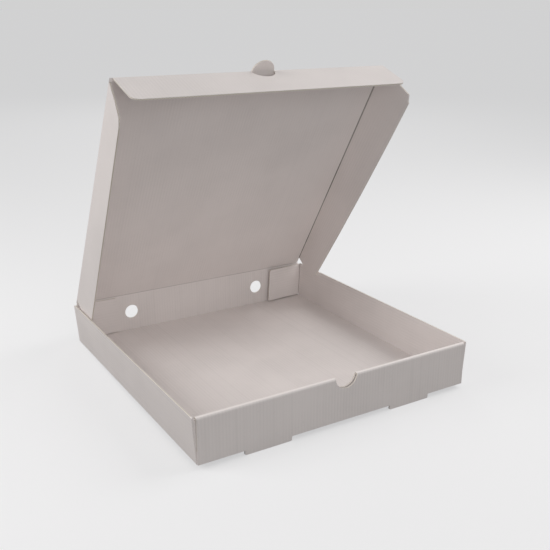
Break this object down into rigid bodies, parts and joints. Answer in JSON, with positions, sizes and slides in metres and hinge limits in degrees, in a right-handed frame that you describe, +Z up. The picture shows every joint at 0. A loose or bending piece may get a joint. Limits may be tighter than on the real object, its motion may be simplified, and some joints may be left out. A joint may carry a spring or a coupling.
{
  "type": "corrugated pizza box",
  "caption": "Plain white corrugated pizza box with rolled double front wall, flared side walls, vented rear wall and hinged lid with tuck flaps, propped part open.",
  "frame": {"origin": "middle of the tray's flat underside, on its lower face", "axes": "+X to the right seen from the front, +Y towards the lid's hinge at the rear, +Z up out of the tray"},
  "size_m": [0.3319, 0.32, 0.329],
  "materials": {
    "board": "uncoated white liner, E-flute"
  },
  "bodies": {
    "tray": {"tray": "board"},
    "lid": {"lid_panel": "board"},
    "front_flap": {"lid_front_flap": "board"},
    "left_flap": {"lid_left_flap": "board"},
    "right_flap": {"lid_right_flap": "board"},
    "left_corner_flap": {"left_rear_corner_flap": "board"},
    "right_corner_flap": {"right_rear_corner_flap": "board"}
  },
  "joints": [
    {"name": "lid_hinge", "type": "hinge", "parent": "tray", "child": "lid", "pos_m": [0, 0.16, 0.0479], "axis": [-1, 0, 0], "range_deg": [-58, 122]},
    {"name": "front_flap_fold", "type": "hinge", "parent": "lid", "child": "front_flap", "pos_m": [0, -0.00618, 0.31385], "axis": [1, 0, 0], "range_deg": [-36.86, 17.55]},
    {"name": "left_flap_fold", "type": "hinge", "parent": "lid", "child": "left_flap", "pos_m": [-0.1535, 0.16, 0.0479], "axis": [0, -0.5299, 0.848], "range_deg": [-18.98, 9.05]},
    {"name": "right_flap_fold", "type": "hinge", "parent": "lid", "child": "right_flap", "pos_m": [0.1535, 0.16, 0.0479], "axis": [0, 0.5299, -0.848], "range_deg": [-65.26, 31.05]},
    {"name": "left_corner_flap_fold", "type": "hinge", "parent": "tray", "child": "left_corner_flap", "pos_m": [-0.154, 0.1582, 0], "axis": [0.0651, 0, -0.9979], "range_deg": [0, 14]},
    {"name": "right_corner_flap_fold", "type": "hinge", "parent": "tray", "child": "right_corner_flap", "pos_m": [0.154, 0.1582, 0], "axis": [0.0651, 0, 0.9979], "range_deg": [-5, 9]}
  ],
  "couplings": [
    {"joint": "front_flap_fold", "follows": "lid_hinge", "ratio": -0.30172},
    {"joint": "left_flap_fold", "follows": "lid_hinge", "ratio": -0.15517},
    {"joint": "right_flap_fold", "follows": "lid_hinge", "ratio": -0.53448}
  ]
}
